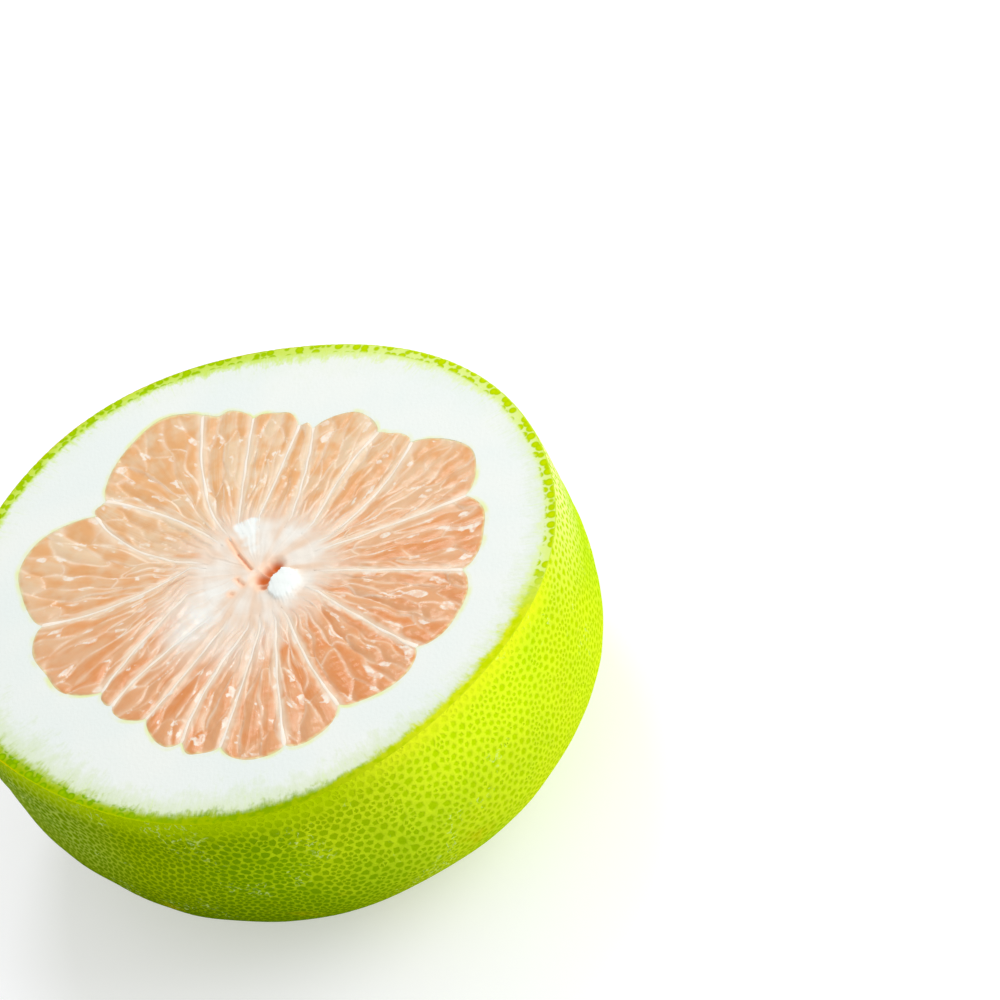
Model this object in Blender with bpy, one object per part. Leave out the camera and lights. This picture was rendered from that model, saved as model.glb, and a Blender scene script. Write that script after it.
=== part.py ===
"""Half of a pink pomelo, cut across the middle and standing on its flat blossom end.

Origin: bottom centre of the half. +Z goes up through the cut face, which is level.
Nodes: rind (green skin), pith (white layer, membranes and middle in one body) and
pulp_01 to pulp_19 (the pink pulp of each segment, counted round the cut against the clock).
"""

import math
import random

import bmesh
import bpy
from mathutils import Vector

MM = 0.001

# Outside of the half
RIM_RADIUS = 75 * MM
DEPTH = 67.7 * MM
WIDEST_BELOW_CUT = 16.7 * MM
SQUARENESS = 3.1
RIM_WAVES = {2: (-0.003, -0.001), 3: (0.007, 0.007), 4: (0.008, 0.001), 5: (-0.009, -0.003)}
BLOSSOM_SHIFT = Vector((5.6, 0.7)) * MM
BASE_RADIUS = 22 * MM
SCAR_RADIUS = 5 * MM
SCAR_DEPTH = 0.9 * MM
SIDES = 56
SKIN_RINGS = 9
BOWL_RINGS = 8
BOWL_TURN = math.radians(80)

# Layers
RIND_THICKNESS = 2.6 * MM
GAP = 0.3 * MM
MEMBRANE_THICKNESS = 0.8 * MM
PULP_INSET = MEMBRANE_THICKNESS / 2 + GAP
PULP_DEPTH = 50 * MM
PULP_ROUNDNESS = 2.4
LOOP_DEPTHS = [0, 20 * MM, 37 * MM, 46 * MM, 49.5 * MM]
ROWS_ALONG = 6
LOBE_FALLOFF = 1.5
SHARPEST_MITER = 0.6
FLOOR_GAP = 0.36 * MM

# Swollen juice sacs on top of the pulp
SAC_WIDTH = 3.4 * MM
SAC_COUNT_PLACE = 0.3
FEWEST_SACS = 2
MOST_SACS = 6
SAC_HEIGHT = 0.9 * MM
SAC_VALLEY = -0.3 * MM
SMALLEST_SAC = 0.6

# The membranes run from the white layer to the middle of the fruit. Each has its distance from
# the middle where it meets the white layer, in mm, and its direction there, at MIDDLE_RADIUS and
# at CORE_RADIUS, in degrees from +X.
MIDDLE = Vector((2.4, -2.8)) * MM
MIDDLE_RADIUS = 35 * MM
CORE_RADIUS = 18 * MM
MEMBRANES = [
    (60.0, 92.5, 101.7, 107.5),
    (53.0, 80.0, 84.2, 95.0),
    (48.0, 66.0, 68.3, 78.2),
    (46.7, 61.3, 57.9, 51.2),
    (48.8, 39.8, 39.8, 29.5),
    (50.2, 28.3, 19.5, 8.2),
    (52.3, -0.7, -1.8, -2.0),
    (51.5, -27.3, -27.1, -27.3),
    (51.5, -54.5, -53.7, -48.3),
    (51.3, -79.7, -81.3, -79.0),
    (56.6, -95.3, -94.2, -88.0),
    (53.5, -111.3, -107.9, -100.5),
    (52.2, -122.0, -121.8, -110.0),
    (47.8, -136.0, -134.3, -130.3),
    (48.7, -148.5, -150.5, -147.0),
    (47.5, -155.0, -161.8, -183.0),
    (54.4, -188.7, -189.9, -210.5),
    (51.9, -227.7, -219.0, -215.8),
    (52.8, -233.0, -238.1, -241.7),
]

# The pulp between each membrane and the next: how far it reaches out at a quarter, a half and
# three quarters of its width, and where its inner end is, all in mm from the middle.
PULP_REACH = [
    (56.6, 57.1, 55.5, 20.0),
    (52.7, 52.2, 51.5, 18.5),
    (47.6, 47.9, 47.4, 14.5),
    (50.2, 52.2, 51.2, 18.0),
    (48.6, 49.8, 50.2, 15.0),
    (55.4, 58.0, 56.0, 17.0),
    (54.6, 54.2, 53.5, 15.0),
    (53.6, 54.0, 53.7, 16.0),
    (53.8, 54.0, 52.8, 15.0),
    (54.4, 56.0, 56.8, 18.0),
    (57.2, 57.3, 56.1, 18.0),
    (53.8, 54.2, 54.3, 19.0),
    (53.0, 52.0, 50.0, 17.0),
    (48.4, 49.2, 49.2, 17.0),
    (48.6, 48.3, 48.0, 17.0),
    (53.4, 54.6, 56.2, 19.0),
    (58.8, 62.5, 60.4, 21.0),
    (52.4, 52.4, 52.2, 15.0),
    (58.4, 62.2, 64.2, 17.0),
]

# Middle of the cut: a torn pit with a slit above it, and a white lump beside it, in mm
PIT_OUTLINE = [
    (-2.4, 11.2), (-1.0, 6.5), (0.3, 3.2), (2.8, 3.4), (6.0, 2.8), (7.6, 0.6), (8.7, -2.0),
    (7.9, -3.6), (5.6, -3.7), (3.4, -6.0), (2.7, -9.0), (1.5, -7.0), (0.1, -3.4), (-1.0, 0.3),
    (-1.7, 5.5),
]
PIT_CENTRE = Vector((3.2, -1.5)) * MM
PIT_STEPS = [(0.75, 2.5 * MM), (0.35, 5.0 * MM)]
LUMP_CENTRE = Vector((9.2, -8.4)) * MM
LUMP_RADIUS = 3.8 * MM
LUMP_STEPS = [(0.65, 0.8 * MM), (0.25, 1.0 * MM)]
LUMP_SIDES = 10

# Edges sharper than this, in degrees, keep their crease
RIND_CREASE = 50
PITH_CREASE = 40
PULP_CREASE = 60


def clear_scene():
    for thing in list(bpy.data.objects):
        bpy.data.objects.remove(thing, do_unlink=True)


def make_material(name, colour, roughness):
    material = bpy.data.materials.new(name)
    material.use_nodes = True
    shader = material.node_tree.nodes["Principled BSDF"]
    shader.inputs["Base Color"].default_value = (*colour, 1)
    shader.inputs["Roughness"].default_value = roughness
    shader.inputs["Metallic"].default_value = 0
    return material


def make_object(bm, name, material, crease_degrees):
    """Turn a closed bmesh into an object with outward faces and smooth round sides."""
    bmesh.ops.triangulate(bm, faces=bm.faces[:])
    bmesh.ops.recalc_face_normals(bm, faces=bm.faces[:])
    mesh = bpy.data.meshes.new(name)
    bm.to_mesh(mesh)
    bm.free()
    mesh.shade_smooth()
    mesh.set_sharp_from_angle(angle=math.radians(crease_degrees))
    mesh.materials.append(material)
    thing = bpy.data.objects.new(name, mesh)
    bpy.context.scene.collection.objects.link(thing)
    return thing


def add_loop(bm, points):
    return [bm.verts.new(point) for point in points]


def bridge(bm, first, second):
    """Join two loops of the same length with a band of quads."""
    for index in range(len(first)):
        after = (index + 1) % len(first)
        bm.faces.new((first[index], first[after], second[after], second[index]))


def close_with_point(bm, loop, point):
    tip = bm.verts.new(point)
    for index in range(len(loop)):
        bm.faces.new((loop[index], loop[(index + 1) % len(loop)], tip))


# Outside: a rounded side whose profile is a squarish oval, a little wavy at the rim and
# leaning towards the blossom end. Inner layers use the same shape, smaller by an inset.

LOWER_DEPTH = DEPTH - WIDEST_BELOW_CUT
CUT_WIDTH_FACTOR = (1 - (WIDEST_BELOW_CUT / LOWER_DEPTH) ** SQUARENESS) ** (1 / SQUARENESS)
FULL_RADIUS = RIM_RADIUS / CUT_WIDTH_FACTOR


def rim_wave(angle):
    return sum(a * math.cos(k * angle) + b * math.sin(k * angle) for k, (a, b) in RIM_WAVES.items())


def level_at(turn, inset):
    """Depth and width factor of the profile at a turn from 0 (widest) to 90 degrees (bottom)."""
    depth_factor = math.copysign(abs(math.sin(turn)) ** (2 / SQUARENESS), turn)
    width_factor = math.cos(turn) ** (2 / SQUARENESS)
    return WIDEST_BELOW_CUT + (LOWER_DEPTH - inset) * depth_factor, width_factor


def cut_turn(inset):
    """The turn at which the profile reaches the cut."""
    return -math.asin((WIDEST_BELOW_CUT / (LOWER_DEPTH - inset)) ** (SQUARENESS / 2))


def base_turn():
    """The turn at which the outside is as narrow as the flat base."""
    return math.acos((BASE_RADIUS / FULL_RADIUS) ** (SQUARENESS / 2))


def body_ring(depth, width_factor, inset):
    """Points round the fruit at one depth below the cut."""
    centre = BLOSSOM_SHIFT * (depth / DEPTH)
    points = []
    for step in range(SIDES):
        angle = math.tau * step / SIDES
        radius = (FULL_RADIUS - inset) * width_factor * (1 + rim_wave(angle) * (1 - depth / DEPTH))
        points.append((centre.x + radius * math.cos(angle), centre.y + radius * math.sin(angle), -depth))
    return points


def side_rings(bm, inset, last_turn, count):
    """Loops from the cut down to last_turn."""
    first_turn = cut_turn(inset)
    loops = []
    for step in range(count):
        turn = first_turn + (last_turn - first_turn) * step / (count - 1)
        loops.append(add_loop(bm, body_ring(*level_at(turn, inset), inset)))
    for upper, lower in zip(loops, loops[1:]):
        bridge(bm, upper, lower)
    return loops


def make_rind(material):
    """The green skin: a thin open bowl with a flat spot and a small scar at the blossom end."""
    bm = bmesh.new()
    outside = side_rings(bm, 0, base_turn(), SKIN_RINGS)
    base_depth = level_at(base_turn(), 0)[0]
    scar_edge = add_loop(bm, body_ring(base_depth, SCAR_RADIUS / FULL_RADIUS, 0))
    bridge(bm, outside[-1], scar_edge)
    base_centre = BLOSSOM_SHIFT * (base_depth / DEPTH)
    close_with_point(bm, scar_edge, (*base_centre, -base_depth + SCAR_DEPTH))
    inside = side_rings(bm, RIND_THICKNESS, BOWL_TURN, BOWL_RINGS)
    bridge(bm, outside[0], inside[0])
    inner_depth = DEPTH - RIND_THICKNESS
    inner_centre = BLOSSOM_SHIFT * (inner_depth / DEPTH)
    close_with_point(bm, inside[-1], (*inner_centre, -inner_depth))
    return make_object(bm, "rind", material, RIND_CREASE)


# Segments: each is laid out on a grid. along runs from 0 at the white layer to 1 at the inner
# end, and across from 0 at one membrane to 1 at the next.

def polar(radius, degrees):
    angle = math.radians(degrees)
    return MIDDLE + Vector((math.cos(angle), math.sin(angle))) * radius


def membrane_point(membrane, t):
    """A smooth curve through the membrane's outer end, middle and inner end, t from 0 to 1."""
    reach, outer_angle, middle_angle, core_angle = membrane
    outer = polar(reach * MM, outer_angle)
    middle = polar(MIDDLE_RADIUS, middle_angle)
    core = polar(CORE_RADIUS, core_angle)
    return outer * (1 - t) * (1 - 2 * t) + middle * 4 * t * (1 - t) + core * t * (2 * t - 1)


def blend(values, position):
    """Read a list of evenly spaced values at a position from 0 to 1."""
    place = position * (len(values) - 1)
    index = min(int(place), len(values) - 2)
    share = place - index
    return values[index] * (1 - share) + values[index + 1] * share


def pulp_point(number, across, along):
    left = MEMBRANES[number]
    right = MEMBRANES[(number + 1) % len(MEMBRANES)]
    *reaches, inner = PULP_REACH[number]
    t_inner = 1 + 0.5 * (CORE_RADIUS - inner * MM) / (MIDDLE_RADIUS - CORE_RADIUS)
    start = membrane_point(left, along * t_inner) - MIDDLE
    end = membrane_point(right, along * t_inner) - MIDDLE
    swing = start.angle_signed(end)
    radius = start.length * (1 - across) + end.length * across
    edge = left[0] * (1 - across) + right[0] * across
    bulge = (blend([left[0], *reaches, right[0]], across) - edge) * MM
    radius += bulge * (1 - along) ** LOBE_FALLOFF + PULP_INSET * (1 - along)
    heading = math.atan2(start.y, start.x) - swing * across
    return MIDDLE + Vector((math.cos(heading), math.sin(heading))) * radius


def columns_across(number):
    """How many sacs lie side by side at the wide end of the segment."""
    left = membrane_point(MEMBRANES[number], SAC_COUNT_PLACE)
    right = membrane_point(MEMBRANES[(number + 1) % len(MEMBRANES)], SAC_COUNT_PLACE)
    return max(FEWEST_SACS, min(MOST_SACS, round((left - right).length / SAC_WIDTH)))


def shrink_at(depth, pulp_depth):
    return max(0, 1 - (depth / pulp_depth) ** PULP_ROUNDNESS) ** (1 / PULP_ROUNDNESS)


def pulp_outline(number, shrink):
    """The edge of a segment: down one membrane, across the inner end, up the next, and back."""
    columns = columns_across(number)
    places = [(0, row / ROWS_ALONG) for row in range(ROWS_ALONG)]
    places += [(column / columns, 1) for column in range(columns)]
    places += [(1, 1 - row / ROWS_ALONG) for row in range(ROWS_ALONG)]
    places += [(1 - column / columns, 0) for column in range(columns)]
    return [pulp_point(number, across, 1 - (1 - along) * shrink) for across, along in places]


def inset_outline(points, distance):
    """Move every point of an outline inwards by the same distance from its sides."""
    area = sum(a.x * b.y - a.y * b.x for a, b in zip(points, points[1:] + points[:1]))
    turn = 1 if area > 0 else -1
    moved = []
    for index, point in enumerate(points):
        before = (point - points[index - 1]).normalized()
        after = (points[(index + 1) % len(points)] - point).normalized()
        first = Vector((-before.y, before.x)) * turn
        second = Vector((-after.y, after.x)) * turn
        middle = (first + second).normalized()
        moved.append(point + middle * (distance / max(SHARPEST_MITER, middle.dot(first))))
    return moved


def segment_loops(bm, number, inset, floor_gap):
    """Loops of one pocket or its pulp, from the cut to the flat bottom."""
    loops = []
    for depth in LOOP_DEPTHS:
        shrink = shrink_at(depth, PULP_DEPTH)
        outline = inset_outline(pulp_outline(number, shrink), inset)
        level = -depth + floor_gap * (depth / LOOP_DEPTHS[-1])
        loops.append(add_loop(bm, [(*point, level) for point in outline]))
    for upper, lower in zip(loops, loops[1:]):
        bridge(bm, upper, lower)
    bm.faces.new(loops[-1])
    return loops


def loop_edges(bm, loop):
    return [bm.edges.get((a, b)) or bm.edges.new((a, b)) for a, b in zip(loop, loop[1:] + loop[:1])]


def stepped_shape(bm, outline, centre, steps, direction):
    """A pit or a lump: copies of an outline, smaller and further from the cut, then closed."""
    first = add_loop(bm, [(*point, 0) for point in outline])
    loop = first
    for scale, distance in steps:
        smaller = [centre + (point - centre) * scale for point in outline]
        following = add_loop(bm, [(*point, direction * distance) for point in smaller])
        bridge(bm, loop, following)
        loop = following
    bm.faces.new(loop)
    return first


def make_pith(material):
    """The white layer with its pockets, the membranes between them, the pit and the lump."""
    bm = bmesh.new()
    inset = RIND_THICKNESS + GAP
    outside = side_rings(bm, inset, BOWL_TURN, BOWL_RINGS)
    bottom = DEPTH - inset
    close_with_point(bm, outside[-1], (*(BLOSSOM_SHIFT * (bottom / DEPTH)), -bottom))
    edges = loop_edges(bm, outside[0])
    for number in range(len(MEMBRANES)):
        loops = segment_loops(bm, number, MEMBRANE_THICKNESS / 2, 0)
        edges += loop_edges(bm, loops[0])
    pit = [Vector(point) * MM for point in PIT_OUTLINE]
    edges += loop_edges(bm, stepped_shape(bm, pit, PIT_CENTRE, PIT_STEPS, -1))
    around = [math.tau * step / LUMP_SIDES for step in range(LUMP_SIDES)]
    lump = [LUMP_CENTRE + Vector((math.cos(a), math.sin(a))) * LUMP_RADIUS for a in around]
    edges += loop_edges(bm, stepped_shape(bm, lump, LUMP_CENTRE, LUMP_STEPS, 1))
    bmesh.ops.triangle_fill(bm, use_beauty=True, edges=edges)
    return make_object(bm, "pith", material, PITH_CREASE)


def make_pulp(number, material):
    """The pulp of one segment, with the swollen sacs raised on its top in staggered rows."""
    bm = bmesh.new()
    loops = segment_loops(bm, number, PULP_INSET, FLOOR_GAP)
    draw = random.Random(number)
    columns = columns_across(number)
    rim = loops[0]
    grid = {}
    for row in range(ROWS_ALONG):
        grid[0, row] = rim[row]
        grid[columns, ROWS_ALONG - row] = rim[ROWS_ALONG + columns + row]
    for column in range(columns):
        grid[column, ROWS_ALONG] = rim[ROWS_ALONG + column]
        grid[columns - column, 0] = rim[2 * ROWS_ALONG + columns + column]
    for column in range(1, columns):
        for row in range(1, ROWS_ALONG):
            swollen = (column + row) % 2 == 0
            height = (SAC_HEIGHT if swollen else SAC_VALLEY) * draw.uniform(SMALLEST_SAC, 1)
            place = pulp_point(number, column / columns, row / ROWS_ALONG)
            grid[column, row] = bm.verts.new((*place, height))
    for column in range(columns):
        for row in range(ROWS_ALONG):
            corners = ((column, row), (column + 1, row), (column + 1, row + 1), (column, row + 1))
            bm.faces.new([grid[corner] for corner in corners])
    return make_object(bm, f"pulp_{number + 1:02d}", material, PULP_CREASE)


def set_origin(things, skin):
    """Move everything so that the origin is the bottom centre of the half."""
    corners = [vertex.co for vertex in skin.data.vertices]
    low_x, high_x = min(c.x for c in corners), max(c.x for c in corners)
    low_y, high_y = min(c.y for c in corners), max(c.y for c in corners)
    low_z = min(c.z for c in corners)
    shift = Vector((-(low_x + high_x) / 2, -(low_y + high_y) / 2, -low_z))
    for thing in things:
        for vertex in thing.data.vertices:
            vertex.co += shift


def main():
    clear_scene()
    rind_green = make_material("rind green", (0.36, 0.55, 0.02), 0.4)
    pith_white = make_material("pith white", (0.85, 0.88, 0.83), 0.8)
    pulp_pink = make_material("pulp pink", (0.86, 0.42, 0.24), 0.25)
    rind = make_rind(rind_green)
    things = [rind, make_pith(pith_white)]
    things += [make_pulp(number, pulp_pink) for number in range(len(MEMBRANES))]
    set_origin(things, rind)


main()
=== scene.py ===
# %% [markdown]
# # Half of a pink pomelo
#
# A pomelo is the largest of the citrus fruits. This lesson dresses one half of it, cut side up:
# a green rind full of oil glands, a thick white pith, nineteen wedges of pink pulp made of juice
# sacs, and the thin white membranes between them.
#
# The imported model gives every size. It is loaded first and never changed: new pieces are built
# round it in the same coordinates, in metres, and each one takes the place of the plain solid
# that it dresses.

import functools
import math

import bpy
import numpy as np
from mathutils import Matrix, Vector


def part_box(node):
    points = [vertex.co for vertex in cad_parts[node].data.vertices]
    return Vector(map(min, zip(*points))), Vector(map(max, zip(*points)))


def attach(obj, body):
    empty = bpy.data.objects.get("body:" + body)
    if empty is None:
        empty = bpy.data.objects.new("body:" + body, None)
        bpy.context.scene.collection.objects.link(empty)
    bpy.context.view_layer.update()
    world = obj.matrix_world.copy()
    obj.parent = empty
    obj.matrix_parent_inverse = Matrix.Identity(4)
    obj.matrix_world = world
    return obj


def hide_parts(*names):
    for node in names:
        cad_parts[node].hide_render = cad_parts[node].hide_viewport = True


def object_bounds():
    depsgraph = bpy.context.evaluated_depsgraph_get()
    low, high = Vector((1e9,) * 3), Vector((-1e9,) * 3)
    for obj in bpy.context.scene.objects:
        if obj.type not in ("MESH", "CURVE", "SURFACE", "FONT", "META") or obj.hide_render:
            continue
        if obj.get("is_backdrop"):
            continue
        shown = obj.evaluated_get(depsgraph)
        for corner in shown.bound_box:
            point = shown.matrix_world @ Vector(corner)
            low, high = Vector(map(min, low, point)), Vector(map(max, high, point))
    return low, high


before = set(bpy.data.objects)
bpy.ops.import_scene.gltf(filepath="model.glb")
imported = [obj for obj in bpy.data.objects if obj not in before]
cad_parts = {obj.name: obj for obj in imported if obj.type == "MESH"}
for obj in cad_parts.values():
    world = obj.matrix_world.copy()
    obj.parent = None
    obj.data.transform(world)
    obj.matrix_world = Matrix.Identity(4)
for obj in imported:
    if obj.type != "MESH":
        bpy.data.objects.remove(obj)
cad_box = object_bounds()
print("frame:", len(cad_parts), "solids, box", [round(side, 4) for side in cad_box[1] - cad_box[0]])

# %% [markdown]
# ## Sizes
#
# The cut is level, so its height is simply the top of the rind's box. Everything on the cut is
# laid out from two points: the fruit's own axis, round which the rind is turned, and the middle
# in which the membranes meet, which is a few millimetres off the axis, as it often is in fruit.

# %% Sizes shared by all pieces
MM = 0.001
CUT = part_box("rind")[1].z
AXIS = np.array([-1.07, 0.30]) * MM
MIDDLE_OFFSET = np.array([2.4, -2.8])
MIDDLE = AXIS + MIDDLE_OFFSET * MM
RIM_RADIUS = 75 * MM
DEPTH = 67.7 * MM
WIDEST_BELOW_CUT = 16.7 * MM
SQUARENESS = 3.1
RIM_WAVES = {2: (-0.003, -0.001), 3: (0.007, 0.007), 4: (0.008, 0.001), 5: (-0.009, -0.003)}
BLOSSOM_SHIFT = np.array([5.6, 0.7]) * MM
BASE_RADIUS = 22 * MM
SCAR_RADIUS = 5 * MM
SCAR_DEPTH = 0.9 * MM
RIND_THICKNESS = 2.6 * MM
MERGE_DISTANCE = 0.01 * MM
print("cut at", round(CUT / MM, 2), "mm")

# %% [markdown]
# ## Small helpers
#
# Blender's operators act on whatever is selected. So each piece starts with nothing selected, a
# primitive is added, and from then on it is the only thing that the operators can touch. Points
# are read and written in bulk with foreach_get and foreach_set, which is far quicker than
# a loop over vertices, and a number for each vertex is kept as a named attribute, which the
# materials can read.

# %% Helpers
def begin(name):
    """Name the primitive that was just added."""
    piece = bpy.context.object
    piece.name = name
    piece.data.name = name
    return piece


def edit(piece):
    bpy.ops.object.select_all(action="DESELECT")
    piece.select_set(True)
    bpy.context.view_layer.objects.active = piece
    bpy.ops.object.mode_set(mode="EDIT")
    bpy.ops.mesh.select_mode(type="VERT")


def leave_edit():
    bpy.ops.object.mode_set(mode="OBJECT")


def leave_closed():
    """Turn all faces outwards and leave edit mode."""
    bpy.ops.mesh.select_all(action="SELECT")
    bpy.ops.mesh.normals_make_consistent(inside=False)
    leave_edit()


def merge_doubles():
    bpy.ops.mesh.select_all(action="SELECT")
    bpy.ops.mesh.remove_doubles(threshold=MERGE_DISTANCE)


def extrude_loop(move, shrink, centre):
    """Extrude the selected loop, move it, and make it smaller round a centre."""
    bpy.ops.mesh.extrude_region_move(TRANSFORM_OT_translate={"value": move})
    bpy.ops.transform.resize(value=(shrink, shrink, 1), center_override=centre)


def read_each(items, name, kind=float, width=1):
    """One property of all the items of a mesh, as an array."""
    values = np.empty(len(items) * width, dtype=kind)
    items.foreach_get(name, values)
    return values.reshape(-1, width) if width > 1 else values


def read_points(piece):
    return read_each(piece.data.vertices, "co", width=3)


def write_points(piece, points):
    piece.data.vertices.foreach_set("co", np.ascontiguousarray(points, dtype=float).ravel())
    piece.data.update()


def write_numbers(piece, **numbers):
    """Keep a number for each vertex under each name."""
    for name, values in numbers.items():
        attribute = piece.data.attributes.get(name) or piece.data.attributes.new(name, "FLOAT", "POINT")
        attribute.data.foreach_set("value", np.ascontiguousarray(values, dtype=float).ravel())


def mm_from(origin, points):
    """x and y of points, in mm from an origin."""
    return ((points[..., :2] - origin) / MM).T


def ease(low, high, value):
    """0 below low, 1 above high, and a smooth step between."""
    share = np.clip((value - low) / (high - low), 0, 1)
    return share * share * (3 - 2 * share)


def wobble(x, y, size, seed):
    """A smooth random height from -1 to 1, made of waves about one size long, without a grid."""
    draw = np.random.default_rng(seed)
    total = 0
    for _ in range(6):
        angle = draw.uniform(0, math.tau)
        step = math.tau / (size * draw.uniform(0.7, 1.6))
        total = total + np.sin((x * math.cos(angle) + y * math.sin(angle)) * step + draw.uniform(0, math.tau))
    return total / 4


def sheet_of_points(name, columns, rows):
    """A grid primitive with columns by rows points, which the caller moves to their places."""
    bpy.ops.object.select_all(action="DESELECT")
    bpy.ops.mesh.primitive_grid_add(x_subdivisions=columns - 1, y_subdivisions=rows - 1, size=1)
    return begin(name)


def finish_piece(piece, slot, *nodes):
    """Give a finished piece its body and hide the solids that it stands for. slot is not used."""
    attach(piece, "root")
    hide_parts(*nodes)
    piece.data.calc_loop_triangles()
    print(piece.name, len(piece.data.loop_triangles), "triangles, replaces", ", ".join(nodes))


# %% [markdown]
# ## The outline of the fruit
#
# Seen from the side, the half is a squarish oval that is widest a little below the cut. The
# profile is given by a turn that runs from the cut, which is just above the widest place, to
# 90 degrees at the blossom end, where it is cut off by the flat spot that the half stands on.

# %% Profile of the outside
LOWER_DEPTH = DEPTH - WIDEST_BELOW_CUT
WIDTH_AT_CUT = (1 - (WIDEST_BELOW_CUT / LOWER_DEPTH) ** SQUARENESS) ** (1 / SQUARENESS)
FULL_RADIUS = RIM_RADIUS / WIDTH_AT_CUT


def profile(inset, last_turn, count):
    """Depths below the cut and radii, from the cut down to last_turn."""
    first_turn = -math.asin((WIDEST_BELOW_CUT / (LOWER_DEPTH - inset)) ** (SQUARENESS / 2))
    turns = np.linspace(first_turn, last_turn, count)
    height_share = np.copysign(np.abs(np.sin(turns)) ** (2 / SQUARENESS), turns)
    depths = WIDEST_BELOW_CUT + (LOWER_DEPTH - inset) * height_share
    radii = (FULL_RADIUS - inset) * np.maximum(0, np.cos(turns)) ** (2 / SQUARENESS)
    return depths, radii


def rim_wave(angle):
    return sum(a * np.cos(k * angle) + b * np.sin(k * angle) for k, (a, b) in RIM_WAVES.items())


def place_on_fruit(angle, depth, radius):
    """Points at a depth below the cut, leaning towards the blossom end as the fruit does."""
    radius = radius * (1 + rim_wave(angle) * (1 - depth / DEPTH))
    x = AXIS[0] + BLOSSOM_SHIFT[0] * depth / DEPTH + radius * np.cos(angle)
    y = AXIS[1] + BLOSSOM_SHIFT[1] * depth / DEPTH + radius * np.sin(angle)
    return np.stack([x, y, CUT - depth], axis=-1)


BASE_TURN = math.acos((BASE_RADIUS / FULL_RADIUS) ** (SQUARENESS / 2))
side_depths, side_radii = profile(0, BASE_TURN, 400)
skin_depths = np.concatenate([side_depths, [side_depths[-1], side_depths[-1] - SCAR_DEPTH]])
skin_radii = np.concatenate([side_radii, [SCAR_RADIUS, 0]])
band_lengths = np.hypot(np.diff(skin_depths), np.diff(skin_radii))
band_areas = band_lengths * (skin_radii[1:] + skin_radii[:-1]) / 2
area_from_base = np.concatenate([np.cumsum(band_areas[::-1])[::-1], [0]]) / band_areas.sum()
skin_area = math.tau * band_areas.sum()
print("widest", round(2 * FULL_RADIUS / MM, 1), "mm, skin", round(skin_area / MM ** 2), "mm2")

# %% [markdown]
# ## The rind
#
# Citrus skin is packed with oil glands: round dots about 1.5 mm across, darker than the pale net
# of skin between them, each a shallow dimple. They lie evenly but never in rows. An icosphere has
# its vertices spread just as evenly, though in rows, so it is made too fine, shuffled and thinned
# with Decimate, which takes vertices out here and there, and smoothed again. One gland is then
# grown on each vertex: a vertex bevel turns the vertices into small polygons, and the polygons are
# poked to get a point in their middle that can sink in. Only then is the ball wrapped on to the
# fruit's outline, with equal areas kept equal, so that no gland is stretched. The knife cuts the
# glands at the rim, so the last bisect goes straight through them.

# %% Rind: the glands
BALL_TOP = 0.18
BALL_SHUFFLE = 0.010
BALL_KEPT = 0.555
GLAND_SIZE = 46.5
GLAND_NUMBERS = (0.8, 1.2)
NET_NUMBERS = (-0.14, 0.05)

bpy.ops.object.select_all(action="DESELECT")
bpy.ops.mesh.primitive_ico_sphere_add(subdivisions=4, radius=1)
rind = begin("rind_skin")
rind.data.materials.append(None)
rind.data.materials.append(None)
edit(rind)
bpy.ops.mesh.select_all(action="SELECT")
bpy.ops.mesh.subdivide(number_cuts=7)
bpy.ops.mesh.bisect(plane_co=(0, 0, BALL_TOP), plane_no=(0, 0, 1), clear_outer=True)
bpy.ops.mesh.select_all(action="SELECT")
bpy.ops.transform.vertex_random(offset=BALL_SHUFFLE, uniform=0, normal=0, seed=5)
leave_edit()
bpy.ops.object.modifier_add(type="DECIMATE")
rind.modifiers["Decimate"].ratio = BALL_KEPT
bpy.ops.object.modifier_apply(modifier="Decimate")
edit(rind)
bpy.ops.mesh.select_all(action="SELECT")
bpy.ops.mesh.vertices_smooth(factor=0.5, repeat=9)
bpy.ops.mesh.bevel(offset_type="PERCENT", offset_pct=GLAND_SIZE, affect="VERTICES", material=1)
bpy.ops.mesh.select_all(action="DESELECT")
rind.active_material_index = 1
bpy.ops.object.material_slot_select()
bpy.ops.mesh.poke()
leave_edit()


def gland_middles(piece):
    """1 at the vertices whose faces are all gland, 0 at the rest."""
    mesh = piece.data
    corners = read_each(mesh.loops, "vertex_index", int)
    is_gland = read_each(mesh.polygons, "material_index", int)
    sides = read_each(mesh.polygons, "loop_total", int)
    middle = np.ones(len(mesh.vertices))
    np.minimum.at(middle, corners, np.repeat(is_gland, sides))
    return middle


is_middle = gland_middles(rind) > 0
draw = np.random.default_rng(6)
in_gland, in_net = [draw.uniform(*span, len(is_middle)) for span in (GLAND_NUMBERS, NET_NUMBERS)]
write_numbers(rind, gland=np.where(is_middle, in_gland, in_net))
edit(rind)
bpy.ops.mesh.select_all(action="SELECT")
bpy.ops.mesh.bisect(plane_co=(0, 0, 0), plane_no=(0, 0, 1), clear_outer=True)
leave_edit()
print("rind:", int(is_middle.sum()), "glands before the cut")

# %% [markdown]
# Now the ball is wrapped on to the fruit. The height of a point on the ball gives the share of
# the area below it, and the profile's table turns that share into a depth and a radius. The
# dimples sink towards the middle of the half, and long shallow waves take the lathe-turned look
# away.

# %% Rind: wrap the ball on to the fruit
GLAND_DIMPLE = 0.13 * MM
LONG_WAVES = 0.35 * MM
SHORT_WAVES = 0.12 * MM
HEART = np.array([AXIS[0], AXIS[1], CUT - 0.4 * DEPTH])

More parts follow.
